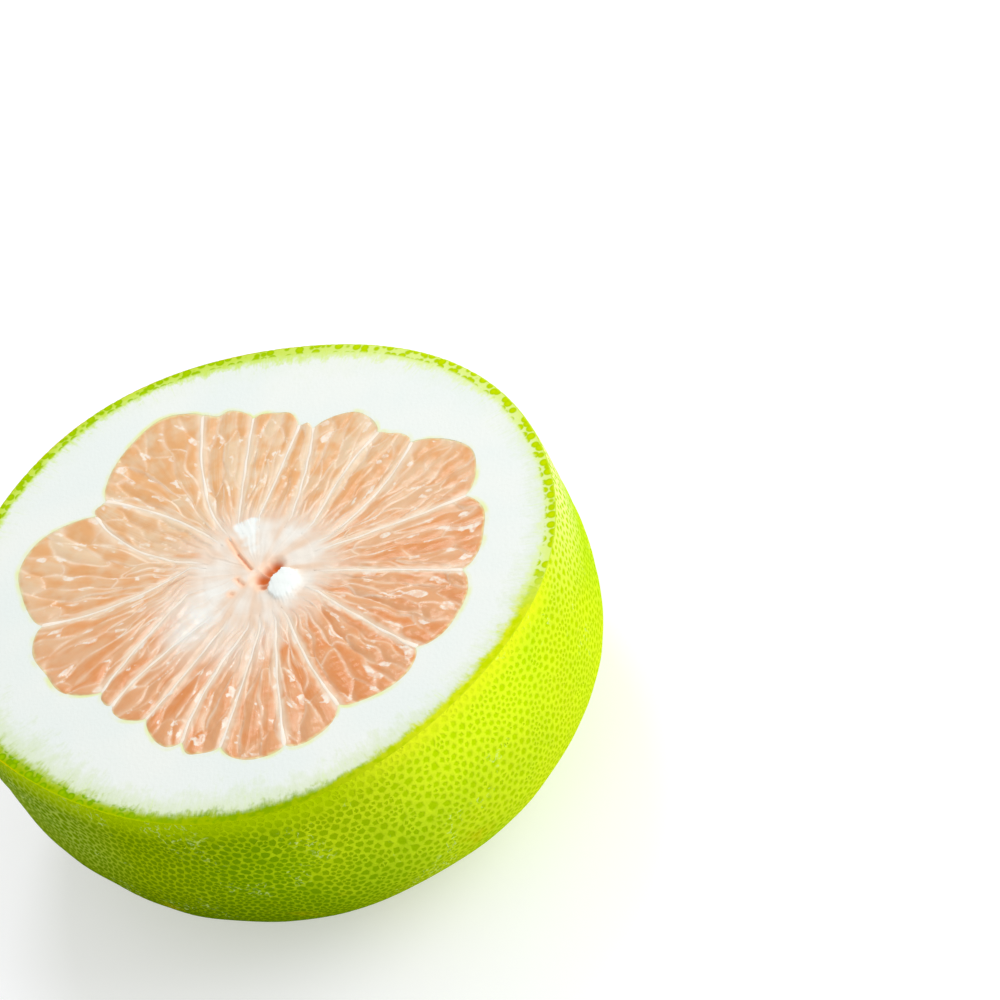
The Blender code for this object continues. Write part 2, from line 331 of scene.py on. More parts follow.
ball = read_points(rind)
ball /= np.linalg.norm(ball, axis=1)[:, None]
share_below = 1 + ball[:, 2]
depth = np.interp(share_below, area_from_base[::-1], skin_depths[::-1])
radius = np.interp(share_below, area_from_base[::-1], skin_radii[::-1])
angle = np.arctan2(ball[:, 1], ball[:, 0])
skin = place_on_fruit(angle, depth, radius)
inwards = HEART - skin
inwards /= np.linalg.norm(inwards, axis=1)[:, None]
dimples = np.maximum(read_each(rind.data.attributes["gland"].data, "value"), 0) * GLAND_DIMPLE
waves = wobble(angle * 3, depth / MM / 9, 2.2, 11) * LONG_WAVES
waves += wobble(angle * 9, depth / MM / 3, 2.4, 12) * SHORT_WAVES
waves *= ease(BASE_RADIUS, BASE_RADIUS + 8 * MM, radius) * ease(0.5 * MM, 6 * MM, depth)
skin += inwards * (dimples + waves)[:, None]
skin[:, 2] = np.where(ball[:, 2] > -0.0001, CUT, np.minimum(skin[:, 2], CUT))
write_points(rind, skin)
print("skin spans", [round(side / MM, 1) for side in skin.max(axis=0) - skin.min(axis=0)], "mm")

# %% [markdown]
# The knife leaves a ring of cut rind round the pith. It is extruded from the skin's open edge in
# narrow steps, inwards along the cut. The last loop is then drawn down along the inside of the
# rind and closed, so that the rind is one closed shell, as it would be if it were peeled off.
#
# The green of the cut ring is 2.5 to 5.5 mm wide. A list gives, by direction in degrees, how many
# millimetres from the skin it has faded half-way to white, and each vertex gets its distance from
# the skin for the material to work with.

# %% Rind: the cut ring and the inside
RING_STEPS = [0.3 * MM, 0.8 * MM, 1.3 * MM, 1.9 * MM, RIND_THICKNESS]
RING_SINK = 0.02 * MM
BOWL_LOOPS = 9
BOWL_TURN = math.radians(80)

edit(rind)
bpy.ops.mesh.select_all(action="DESELECT")
bpy.ops.mesh.select_non_manifold()
centre = Vector((AXIS[0], AXIS[1], CUT))
width_now = RIM_RADIUS
for inset in RING_STEPS:
    extrude_loop((0, 0, 0), (RIM_RADIUS - inset) / width_now, centre)
    width_now = RIM_RADIUS - inset
bpy.ops.transform.translate(value=(0, 0, -RING_SINK))
bowl_depths, bowl_radii = profile(RIND_THICKNESS, BOWL_TURN, BOWL_LOOPS)
for index in range(1, BOWL_LOOPS):
    drop = bowl_depths[index] - bowl_depths[index - 1]
    lean = Vector((*(BLOSSOM_SHIFT * drop / DEPTH), -drop))
    centre = centre + lean
    extrude_loop(lean, bowl_radii[index] / width_now, centre)
    width_now = bowl_radii[index]
bpy.ops.mesh.edge_face_add()
bpy.ops.mesh.poke()
leave_edit()

GREEN_WIDTHS = np.array([
    (0, 2.8), (15, 3.4), (30, 4.1), (45, 4.5), (60, 5.4), (75, 5.5), (90, 4.3), (105, 3.8),
    (120, 3.8), (135, 3.5), (150, 3.5), (180, 3.4), (210, 3.7), (225, 3.1), (240, 2.7), (255, 3.4),
    (270, 2.8), (285, 2.7), (300, 2.5), (315, 3.1), (330, 3.75), (345, 3.2),
])


def write_rim_numbers(piece):
    """For each vertex, the distance from the skin in mm, and the same as a share of the green ring."""
    x, y = mm_from(AXIS, read_points(piece))
    turn = np.arctan2(y, x)
    from_skin = np.maximum(0, RIM_RADIUS / MM * (1 + rim_wave(turn)) - np.hypot(x, y))
    green_width = np.interp(np.degrees(turn) % 360, *GREEN_WIDTHS.T, period=360)
    write_numbers(piece, from_skin=from_skin, ring_share=from_skin / green_width)


write_rim_numbers(rind)

# %% Rind: which faces are cut
RIND_SKIN_SLOT = 0
RIND_CUT_SLOT = 1
CUT_TOLERANCE = 0.04 * MM
face_heights = read_each(rind.data.polygons, "center", width=3)[:, 2]
is_cut = face_heights > CUT - CUT_TOLERANCE
rind.data.polygons.foreach_set("material_index", np.where(is_cut, RIND_CUT_SLOT, RIND_SKIN_SLOT))
print("rind:", int(is_cut.sum()), "faces on the cut of", len(is_cut))
edit(rind)
leave_closed()
bpy.ops.object.shade_smooth_by_angle(angle=math.radians(50))
finish_piece(rind, "rind", "rind")

# %% [markdown]
# ## Where the segments lie
#
# The nineteen membranes run from the white layer to the middle. Each row gives the distance from
# the middle at which a membrane meets the white layer, in millimetres, and its direction there,
# at 35 mm and at 18 mm from the middle, in degrees. A second table says how far the pulp between
# two membranes reaches out at a quarter, a half and three quarters of its width. No two segments
# of a real pomelo are alike, so these sizes are all that there is to go by. The pulp's threads
# run on into the middle, to 12.5 mm from it.
#
# The knife also drags bits of white pith over the cut. A third table lists them, with their place
# from the middle, their radius and how strong they are.

# %% Membranes and segments
MIDDLE_REACH = 35
CORE_REACH = 18
INNER_REACH = 12.5
MEMBRANES = np.array([
    (60.0, 92.5, 101.7, 107.5),
    (53.0, 80.0, 84.2, 95.0),
    (48.0, 66.0, 68.3, 78.2),
    (46.7, 61.3, 57.9, 51.2),
    (48.8, 39.8, 39.8, 29.5),
    (50.2, 28.3, 19.5, 8.2),
    (52.3, -0.7, -1.8, -2.0),
    (51.5, -27.3, -27.1, -27.3),
    (51.5, -54.5, -53.7, -48.3),
    (51.3, -79.7, -81.3, -79.0),
    (56.6, -95.3, -94.2, -88.0),
    (53.5, -111.3, -107.9, -100.5),
    (52.2, -122.0, -121.8, -110.0),
    (47.8, -136.0, -134.3, -130.3),
    (48.7, -148.5, -150.5, -147.0),
    (47.5, -155.0, -161.8, -183.0),
    (54.4, -188.7, -189.9, -210.5),
    (51.9, -227.7, -219.0, -215.8),
    (52.8, -233.0, -238.1, -241.7),
])
PULP_REACH = np.array([
    (56.6, 57.1, 55.5),
    (52.7, 52.2, 51.5),
    (47.6, 47.9, 47.4),
    (50.2, 52.2, 51.2),
    (48.6, 49.8, 50.2),
    (55.4, 58.0, 56.0),
    (54.6, 54.2, 53.5),
    (53.6, 54.0, 53.7),
    (53.8, 54.0, 52.8),
    (54.4, 56.0, 56.8),
    (57.2, 57.3, 56.1),
    (53.8, 54.2, 54.3),
    (53.0, 52.0, 50.0),
    (48.4, 49.2, 49.2),
    (48.6, 48.3, 48.0),
    (53.4, 54.6, 56.2),
    (58.8, 62.5, 60.4),
    (52.4, 52.4, 52.2),
    (58.4, 62.2, 64.2),
])
SEGMENTS = len(MEMBRANES)
LOBE_FALLOFF = 1.5
LOBE_PUSH = 0.7
NOTCH_DEPTH = 1.3
NOTCH_WIDTH = 0.9
NOTCH_FALLOFF = 6
CURVE_END = 1 + 0.5 * (CORE_REACH - INNER_REACH) / (MIDDLE_REACH - CORE_REACH)
PALE_REACH = 20
WHITE_PATCHES = [
    (-1.6, 16.2, 1.8, 1.0), (0.2, 14.4, 3.0, 1.0), (1.2, 16.0, 2.2, 1.0), (0.2, 10.8, 2.3, 0.85),
    (0.3, 7.8, 1.7, 0.7), (-11.5, -0.5, 5.5, 0.55), (-15.5, -7.5, 6.0, 0.6), (-21.0, -11.5, 5.5, 0.5),
    (10.5, 8.2, 4.0, 0.35), (3.6, 11.0, 4.5, 0.35),
]
STREAK_COUNT = 7
THREAD_COUNT = 12
print(SEGMENTS, "segments")


def polar(reach, degrees):
    turn = np.radians(degrees)
    return np.stack([reach * np.cos(turn), reach * np.sin(turn)], axis=-1)


def membrane_curve(number, t):
    """A membrane's middle line in mm from the middle: t is 0 outside and 1 at the core, then straight in."""
    reach, outer_angle, middle_angle, core_angle = MEMBRANES[number % SEGMENTS]
    outer = polar(reach, outer_angle)
    middle = polar(MIDDLE_REACH, middle_angle)
    core = polar(CORE_REACH, core_angle)
    t = np.asarray(t)[..., None]
    bent = np.minimum(t, 1)
    curve = outer * (1 - bent) * (1 - 2 * bent) + middle * 4 * bent * (1 - bent)
    curve = curve + core * bent * (2 * bent - 1)
    return curve * (1 - 2 * (t - bent) * (MIDDLE_REACH - CORE_REACH) / CORE_REACH)


def smooth_list(values, position):
    """A smooth curve through evenly spaced values, position from 0 to 1."""
    padded = np.concatenate([[2 * values[0] - values[1]], values, [2 * values[-1] - values[-2]]])
    place = np.asarray(position) * (len(values) - 1)
    index = np.minimum(place.astype(int), len(values) - 2)
    s = place - index
    before, first, second, after = (padded[index + k] for k in range(4))
    bend = 2 * before - 5 * first + 4 * second - after
    twist = 3 * (first - second) + after - before
    return first + 0.5 * s * (second - before + s * (bend + s * twist))


def segment_polar(number, across, along):
    """Distance and direction from the middle of a point of a segment, in mm and radians."""
    left_reach = MEMBRANES[number][0]
    right_reach = MEMBRANES[(number + 1) % SEGMENTS][0]
    start = membrane_curve(number, along * CURVE_END)
    end = membrane_curve(number + 1, along * CURVE_END)
    start_turn = np.arctan2(start[..., 1], start[..., 0])
    end_turn = np.arctan2(end[..., 1], end[..., 0])
    swing = (start_turn - end_turn + math.pi) % math.tau - math.pi
    start_reach = np.hypot(start[..., 0], start[..., 1])
    end_reach = np.hypot(end[..., 0], end[..., 1])
    outline = smooth_list(np.array([left_reach, *PULP_REACH[number], right_reach]), across)
    bulge = outline - left_reach * (1 - across) - right_reach * across
    wide = np.hypot(*(membrane_curve(number, 0.1) - membrane_curve(number + 1, 0.1)))
    notch = np.exp(-across * wide / NOTCH_WIDTH) + np.exp(-(1 - across) * wide / NOTCH_WIDTH)
    reach = start_reach * (1 - across) + end_reach * across + bulge * (1 - along) ** LOBE_FALLOFF
    reach = reach + (LOBE_PUSH - NOTCH_DEPTH * notch) * (1 - along) ** NOTCH_FALLOFF
    return reach, start_turn - swing * across


def lobe_outline(angles):
    """How far the pulp reaches from the middle in each direction, in metres."""
    across = np.linspace(0, 1, 60, endpoint=False)
    outlines = [segment_polar(number, across, np.zeros_like(across)) for number in range(SEGMENTS)]
    reaches, turns = [np.concatenate(parts) for parts in zip(*outlines)]
    order = np.argsort(turns % math.tau)
    return np.interp(angles % math.tau, turns[order] % math.tau, reaches[order], period=math.tau) * MM


def streak_at(x, y):
    """Threads that run in to the middle, from 0 to 1, at places in mm from the middle."""
    heading = np.arctan2(y, x)
    reach = np.hypot(x, y)
    bend = 0.5 * wobble(x, y, 14, 30)
    round_x = STREAK_COUNT * np.cos(heading)
    round_y = STREAK_COUNT * np.sin(heading)
    fine = wobble(round_x + bend, round_y + bend, 1.1, 31) * ease(3, 16, reach)
    broad = wobble(round_x - bend, round_y, 3.2, 32)
    streaks = 0.45 * fine + 0.7 * broad + 0.5 * wobble(x, y, 6, 33)
    return ease(-1.1, 1.1, streaks + 0.4 - 0.02 * reach)


def thread_at(x, y):
    """Fine threads that run in to the middle, as a height from -1 to 1."""
    heading = np.arctan2(y, x) + 0.05 * wobble(x, y, 7, 35)
    threads = wobble(THREAD_COUNT * np.cos(heading), THREAD_COUNT * np.sin(heading), 1.0, 36)
    return threads * ease(2, 7, np.hypot(x, y))


def pale_at(x, y, strings):
    """How pale the pulp is, from 0 to 1, at places in mm from the middle. strings shift its edge."""
    heading = np.degrees(np.arctan2(y, x)) % 360
    reach = np.hypot(x, y) + 4.0 * strings
    edge = PALE_REACH + 8 * ease(160, 200, heading) * (1 - ease(250, 285, heading))
    pale = 1 - ease(edge - 8, edge + 7, reach)
    return np.maximum(pale, white_at(x, y))


def white_at(x, y):
    """Bits of white pith that stick to the cut, from 0 to 1, at places in mm from the middle."""
    white = 0
    ragged = 0.5 * wobble(x, y, 3, 37)
    threads = thread_at(x, y)
    for patch_x, patch_y, radius, strength in WHITE_PATCHES:
        reach = np.hypot(x - patch_x, y - patch_y) + ragged + 0.2 * radius * threads
        inner = 0.55 * radius * strength ** 2
        white = np.maximum(white, strength * (1 - ease(inner, 1.2 * radius, reach)))
    return white


# %% [markdown]
# ## The pith
#
# Under the rind lies the pith, a white layer as soft as foam, here 8 to 24 mm thick. It is one
# body with the white middle of the fruit. A grid is bent round into this shape like clay on
# a wheel: its rows are rings that start under the blossom end, rise up the outside, cross the cut
# to the edge of the pulp, go down and up again round the hollow that holds the pulp, and end in
# the middle.
#
# The middle is torn. Four round pits run together into one hollow, slits lead to it, and beside
# it a lump of white pith stands up. Pits are listed by place, radius and depth, slits by their two
# ends, half width and depth, all in millimetres.

# %% Pith: the torn middle
PIT_PLACES = [
    (6.6, -2.8, 2.1, 1.9), (4.9, -3.8, 2.4, 1.7), (2.9, -5.3, 2.5, 1.8), (2.6, -7.6, 1.7, 1.4),
]
SLITS = [
    ((-2.3, 10.6), (-1.2, 5.0), 0.26, 0.25), ((-1.2, 5.0), (0.7, -1.2), 0.30, 0.5),
    ((-3.1, -3.0), (-2.0, -5.4), 0.26, 0.4), ((-5.5, -6.8), (-5.1, -7.2), 0.30, 0.3),
]
LUMP_CENTRE = np.array([7.2, -9.8])
LUMP_SIZE = np.array([3.9, 5.2])
LUMP_TURN = math.radians(-20)
LUMP_HEIGHT = 0.9


def from_line(x, y, start, end):
    side = np.subtract(end, start)
    share = np.clip(((x - start[0]) * side[0] + (y - start[1]) * side[1]) / (side @ side), 0, 1)
    return np.hypot(x - start[0] - share * side[0], y - start[1] - share * side[1])


def middle_relief(x, y):
    """Height in mm at places in mm from the axis, the deep orange of the pit and slits, partly painted shade,
    and how pink and white the torn middle is.
    """
    from_middle = x - MIDDLE_OFFSET[0], y - MIDDLE_OFFSET[1]
    ragged = 0.30 * wobble(x, y, 1.6, 21) + 0.35 * wobble(x, y, 3.5, 22)
    lump_x = (x - LUMP_CENTRE[0]) * math.cos(LUMP_TURN) + (y - LUMP_CENTRE[1]) * math.sin(LUMP_TURN)
    lump_y = (y - LUMP_CENTRE[1]) * math.cos(LUMP_TURN) - (x - LUMP_CENTRE[0]) * math.sin(LUMP_TURN)
    from_lump = np.hypot(lump_x / LUMP_SIZE[0], lump_y / LUMP_SIZE[1])
    from_lump = from_lump + 0.16 * ragged + 0.05 * wobble(x, y, 0.9, 27)
    soft_side = 0.5 * ease(-1, 5, lump_x - 0.4 * lump_y)
    lump = 1 - ease(0.86 - 0.5 * soft_side, 1.0 + soft_side, from_lump)
    pit_depth = 0
    blush = 0
    for pit_x, pit_y, radius, drop in PIT_PLACES:
        distance = np.hypot(x - pit_x, y - pit_y) / radius
        pit_depth = np.maximum(pit_depth, drop * (1 - ease(0.1, 1.5, distance + 0.10 * ragged)))
        blush = np.maximum(blush, 0.9 * (1 - ease(0.3, 2.2, distance + 0.3 * ragged)))
    slit_depth = 0
    for start, end, half_width, drop in SLITS:
        distance = from_line(x, y, start, end) + 0.25 * ragged
        slit_depth = np.maximum(slit_depth, drop * (1 - ease(0, half_width * 2.4, distance)))
        blush = np.maximum(blush, 0.9 * (1 - ease(0.3, 1.8, distance)))
    dome = lump * (1.1 - 0.5 * np.minimum(from_lump, 1.4) ** 2)
    height = LUMP_HEIGHT * dome - np.maximum(pit_depth, slit_depth) * (1 - lump)
    height = height + 0.03 * thread_at(*from_middle) * (1 - lump) + 0.06 * wobble(x, y, 3.5, 26)
    # Partly painted shade: the pit and slits are painted a deeper orange the deeper they are.
    orange = np.maximum(ease(0.5, 1.9, pit_depth), ease(0.05, 0.9, slit_depth)) * (1 - lump)
    white = np.maximum(lump, 0.9 * white_at(*from_middle) * (1 - orange) * (1 - 0.7 * blush))
    return height, orange, blush, white


print("pit", max(place[3] for place in PIT_PLACES), "mm deep, lump", LUMP_HEIGHT, "mm high")

# %% Pith: bend the grid
PITH_COLUMNS = 720
RING_OVERLAP = 0.12 * MM
PULP_OVERLAP = 0.15 * MM
CUT_ROWS = 9
CUT_CROWDING = 1.6
POCKET_DEPTH = 14 * MM
MIDDLE_ROWS = 40
MIDDLE_EDGE = 16.5 * MM
MIDDLE_SINK = 0.8

turn = np.linspace(0, math.tau, PITH_COLUMNS)
directions = np.stack([np.cos(turn), np.sin(turn)], axis=-1)


def fruit_ring(depth, radius):
    """A ring round the fruit's axis."""
    return place_on_fruit(turn, np.full_like(turn, depth), np.full_like(turn, radius))


def middle_ring(reach, drop):
    """A ring round the middle, with one reach or one for each direction, at drop below the cut."""
    flat = MIDDLE + directions * np.reshape(reach, (-1, 1))
    return np.column_stack([flat, np.full(len(flat), CUT - drop)])


outer_edge = fruit_ring(0, RIM_RADIUS - RIND_THICKNESS + RING_OVERLAP)
pulp_edge = middle_ring(lobe_outline(turn) - PULP_OVERLAP, 0)
rings = [fruit_ring(bowl_depths[-1], 0)]
rings += [fruit_ring(*place) for place in zip(bowl_depths[:0:-1], bowl_radii[:0:-1])]
rings.append(outer_edge)
for row in range(1, CUT_ROWS + 1):
    share = 1 - (1 - row / CUT_ROWS) ** CUT_CROWDING
    rings.append(outer_edge * (1 - share) + pulp_edge * share)
rings += [pulp_edge - (0, 0, drop) for drop in (0.4 * MM, 4 * MM, POCKET_DEPTH)]
rings += [middle_ring(MIDDLE_EDGE, drop) for drop in (POCKET_DEPTH, 4 * MM, 1.2 * MM)]
for row in range(MIDDLE_ROWS + 1):
    radius = MIDDLE_EDGE * (1 - row / MIDDLE_ROWS) - 0.6 * MM * (row == 0)
    ring = middle_ring(radius, 0)
    sink = MIDDLE_SINK * (max(0, radius / MM - 13) / 3.5) ** 2
    ring[:, 2] += (middle_relief(*mm_from(AXIS, ring))[0] - sink) * MM
    rings.append(ring)
pith = sheet_of_points("pith_body", PITH_COLUMNS, len(rings))
write_points(pith, np.concatenate(rings))
edit(pith)
merge_doubles()
leave_closed()
print("pith:", len(rings), "rings of", PITH_COLUMNS, "points")

# %% [markdown]
# The material needs numbers at each vertex: the distance from the skin, where the white turns
# green, and from the pulp, where it turns yellow, a mark for the torn middle with how pink and
# white each of its places is and how deep an orange it gets in the pit and slits, partly their own
# colour and partly painted shade, and the threads that run in to it.

# %% Pith: numbers for the material
body = read_points(pith)
write_rim_numbers(pith)
x, y = mm_from(MIDDLE, body)
reach = np.hypot(x, y)
height, orange, blush, lump = middle_relief(*mm_from(AXIS, body))
in_core = (reach < CORE_REACH) * 1.0
from_pulp = np.abs(reach - lobe_outline(np.arctan2(y, x)) / MM)
write_numbers(
    pith, from_pulp=from_pulp, core=in_core, orange=orange * in_core, blush=blush * in_core,
    lump=lump * in_core, streak=streak_at(x, y),
)
print("pith: torn middle", round(float(-height[reach < 10].min()), 1), "mm deep")

# %% [markdown]
# ## The membranes
#
# A membrane is a thin wall between two segments. Cut through, it shows as a cream line, level with
# the cut, wider where it meets the pith and narrower where it runs into the middle. Each one is
# a grid bent into a flat tube: one way round the wall's section, the other way along the curve.

# %% Membranes
WALL_SECTION = np.array([
    (-1.0, -12.0), (-1.0, -0.20), (-0.75, -0.04), (-0.4, 0.01), (0.0, 0.02), (0.4, 0.01),
    (0.75, -0.04), (1.0, -0.20), (1.0, -12.0), (-1.0, -12.0),
])
WALL_ROWS = 90
WALL_START = -0.02
WALL_END = 1.17
WALL_HALF_WIDTH = 0.50


def make_membrane(number):
    t = np.linspace(WALL_START, WALL_END, WALL_ROWS)
    line = membrane_curve(number, t)
    tangent = np.gradient(line, axis=0)
    tangent /= np.hypot(*tangent.T)[:, None]
    side = np.stack([-tangent[:, 1], tangent[:, 0]], axis=-1)
    line = line + side * (0.18 * wobble(t * 30, t * 0 + number * 9, 7, number))[:, None]
    half = WALL_HALF_WIDTH + 0.45 * ease(0.22, WALL_START, t) - 0.2 * ease(1, WALL_END, t)
    half = half + 0.14 * wobble(t * 30, t * 0, 5, number + 40)
    aside = half[:, None, None] * WALL_SECTION[:, 0, None]
    rise = 0.02 * wobble(t * 30, t * 0 + 3, 6, number + 80) - 0.2 * ease(0.03, WALL_START, t)
    core_share = ease(20, 14, np.hypot(*line.T))
    relief = middle_relief(*(line + MIDDLE_OFFSET).T)[0] + 0.02 - 0.14 * ease(1.04, WALL_END, t)
    rise = rise * (1 - core_share) + relief * core_share
    points = np.empty((WALL_ROWS, len(WALL_SECTION), 3))
    points[..., :2] = MIDDLE + (line[:, None] + side[:, None] * aside) * MM
    points[..., 2] = CUT + (WALL_SECTION[:, 1] + rise[:, None]) * MM
    wall = sheet_of_points(f"membrane_{number + 1:02d}", len(WALL_SECTION), WALL_ROWS)
    write_points(wall, points.reshape(-1, 3))
    numbers = {"core": core_share, "streak": streak_at(*line.T), "lump": 0.9 * white_at(*line.T)}
    write_numbers(wall, **{name: np.repeat(row, len(WALL_SECTION)) for name, row in numbers.items()})
    edit(wall)
    merge_doubles()
    bpy.ops.mesh.select_all(action="DESELECT")
    bpy.ops.mesh.select_non_manifold()
    bpy.ops.mesh.fill_holes(sides=0)
    leave_closed()
    return wall


membranes = [make_membrane(number) for number in range(SEGMENTS)]
print(len(membranes), "membranes")

# %% [markdown]
# The membranes grow out of the pith, so they become part of the same piece, with a material slot
# of their own.

# %% Pith: join the membranes
PITH_SLOT = 0
MEMBRANE_SLOT = 1
pith_materials = [bpy.data.materials.new(name) for name in ("pith white", "membrane cream")]
bpy.ops.object.select_all(action="DESELECT")
for piece in [*membranes, pith]:
    for material in pith_materials:
        piece.data.materials.append(material)
    piece.select_set(True)
for wall in membranes:
    wall.data.polygons.foreach_set("material_index", [MEMBRANE_SLOT] * len(wall.data.polygons))
bpy.context.view_layer.objects.active = pith
bpy.ops.object.join()
bpy.ops.object.shade_smooth_by_angle(angle=math.radians(60))
finish_piece(pith, "pith", "pith")

# %% [markdown]
# ## The pulp
#
# Each segment is packed with juice sacs: long drops, blunt outside and drawn out to a thread
# towards the middle, each in a skin as thin as film. Cut through, they swell by a fifth of
# a millimetre, and where two of them meet, their skins show as a fine pale line.
#
# A grid is laid over each segment, one way from membrane to membrane and the other way from the
# pith to the middle. Sacs are seeded on it in uneven rows. Every point belongs to the sac that
# it is nearest to, where near is measured longer along the sac than across it. The distance to
# the next sac gives the pale line, and the distance from the sac's own middle gives its swell.

# %% Pulp: sizes
POINT_SPACING = 0.25
SAC_ROWS = [(0.05, 4.6, 5.0), (0.33, 3.6, 9.0), (0.62, 2.9, 9.5), (0.88, 2.2, 8.0)]
SAC_SWELL = 0.18
SIDE_INSET = 0.14
PULP_DEPTH = 50
PULP_ROUNDNESS = 2.4
PULP_LEVELS = [20, 37, 46, 49.5]
SEAM_WIDTH = 0.26
SEAM_HEIGHT = 0.10
GLINT_X = 0.75
GLINT_Y = 0.66


def width_at(number, along):
    gap = membrane_curve(number, along) - membrane_curve(number + 1, along)
    return np.hypot(gap[..., 0], gap[..., 1])


def seed_sacs(draw, number):
    """Middles, sizes and moods of the sacs of one segment, in rows from the pith inwards."""
    sacs = []
    for row, (along, sac_width, sac_length) in enumerate(SAC_ROWS):
        count = max(1, round(float(width_at(number, along)) / sac_width))
        shift = (0.5 * (row % 2) + draw.uniform(-0.2, 0.2)) / count
        for place in range(-1, count + 1):
            sacs.append((
                (place + 0.5) / count + shift + draw.normal(0, 0.14) / count,
                along + draw.normal(0, 0.07),
                sac_width / 2 * draw.uniform(0.75, 1.35),
                sac_length * draw.uniform(0.8, 1.3),
                math.radians(draw.normal(0, 6)),
                draw.uniform(0, 1),
                draw.uniform(-0.06, 0.06),
                draw.normal(0, 0.04),
                draw.normal(0, 0.010),
            ))
    return np.array(sacs)


def share_out(sacs, across, along, width_here, length, warp):
    """Each point's distance from its sac's middle and from the next sac, the seam's way, tone and lift."""
    distances = []
    leans = []
    for sac_across, sac_along, half_width, half_length, tilt, _, _, side_slope, long_slope in sacs:
        aside = (across - sac_across) * width_here + warp
        ahead = (along - sac_along) * length
        turned = aside * math.cos(tilt) + ahead * math.sin(tilt)
        ahead = ahead * math.cos(tilt) - aside * math.sin(tilt)
        taper = 1 - 0.35 * np.clip(ahead / half_length, -0.5, 1.3)
        distances.append(np.hypot(turned / (half_width * taper), ahead / half_length))
        leans.append(side_slope * np.clip(turned, -2, 2) + long_slope * np.clip(ahead, -8, 8))
    ranked = np.sort(distances, axis=0)
    gap = ranked[1] - ranked[0]
    rows, columns = across.shape
    change_across = np.gradient(gap, axis=1) * columns / width_here
    change_along = np.gradient(gap, axis=0) * rows / length
    slope = np.hypot(change_across, change_along)
    radial = change_across ** 2 / np.maximum(slope ** 2, 0.0001)
    share = np.exp(-14 * (np.array(distances) - ranked[0]))
    share /= share.sum(axis=0)
    tone, lift = (np.tensordot(sacs[:, column], share, 1) for column in (5, 6))
    lift = lift + (share * np.array(leans)).sum(axis=0)
    from_seam = gap / np.maximum(slope, 0.12)
    return ranked[0], from_seam, radial, tone, lift


def glint_lean(x, y, height):
    """How much each place slopes to the right and back, where the wet skins catch the light."""
    lean = 0
    for axis in (1, 0):
        step_x = np.gradient(x, axis=axis)
        step_y = np.gradient(y, axis=axis)
        length = np.hypot(step_x, step_y)
        lean = lean - np.gradient(height, axis=axis) / length * (GLINT_X * step_x + GLINT_Y * step_y) / length
    return lean


def close_below(pulp, inner_end):
    """The body under the cut, which narrows towards the blossom end."""
    edit(pulp)
    bpy.ops.mesh.select_all(action="DESELECT")
    bpy.ops.mesh.select_non_manifold()
    depth_now = 0
    width_now = 1
    for depth in PULP_LEVELS:
        width = (1 - (depth / PULP_DEPTH) ** PULP_ROUNDNESS) ** (1 / PULP_ROUNDNESS)
        extrude_loop((0, 0, (depth_now - depth) * MM), width / width_now, inner_end)
        depth_now = depth
        width_now = width
    bpy.ops.mesh.edge_face_add()
    leave_closed()


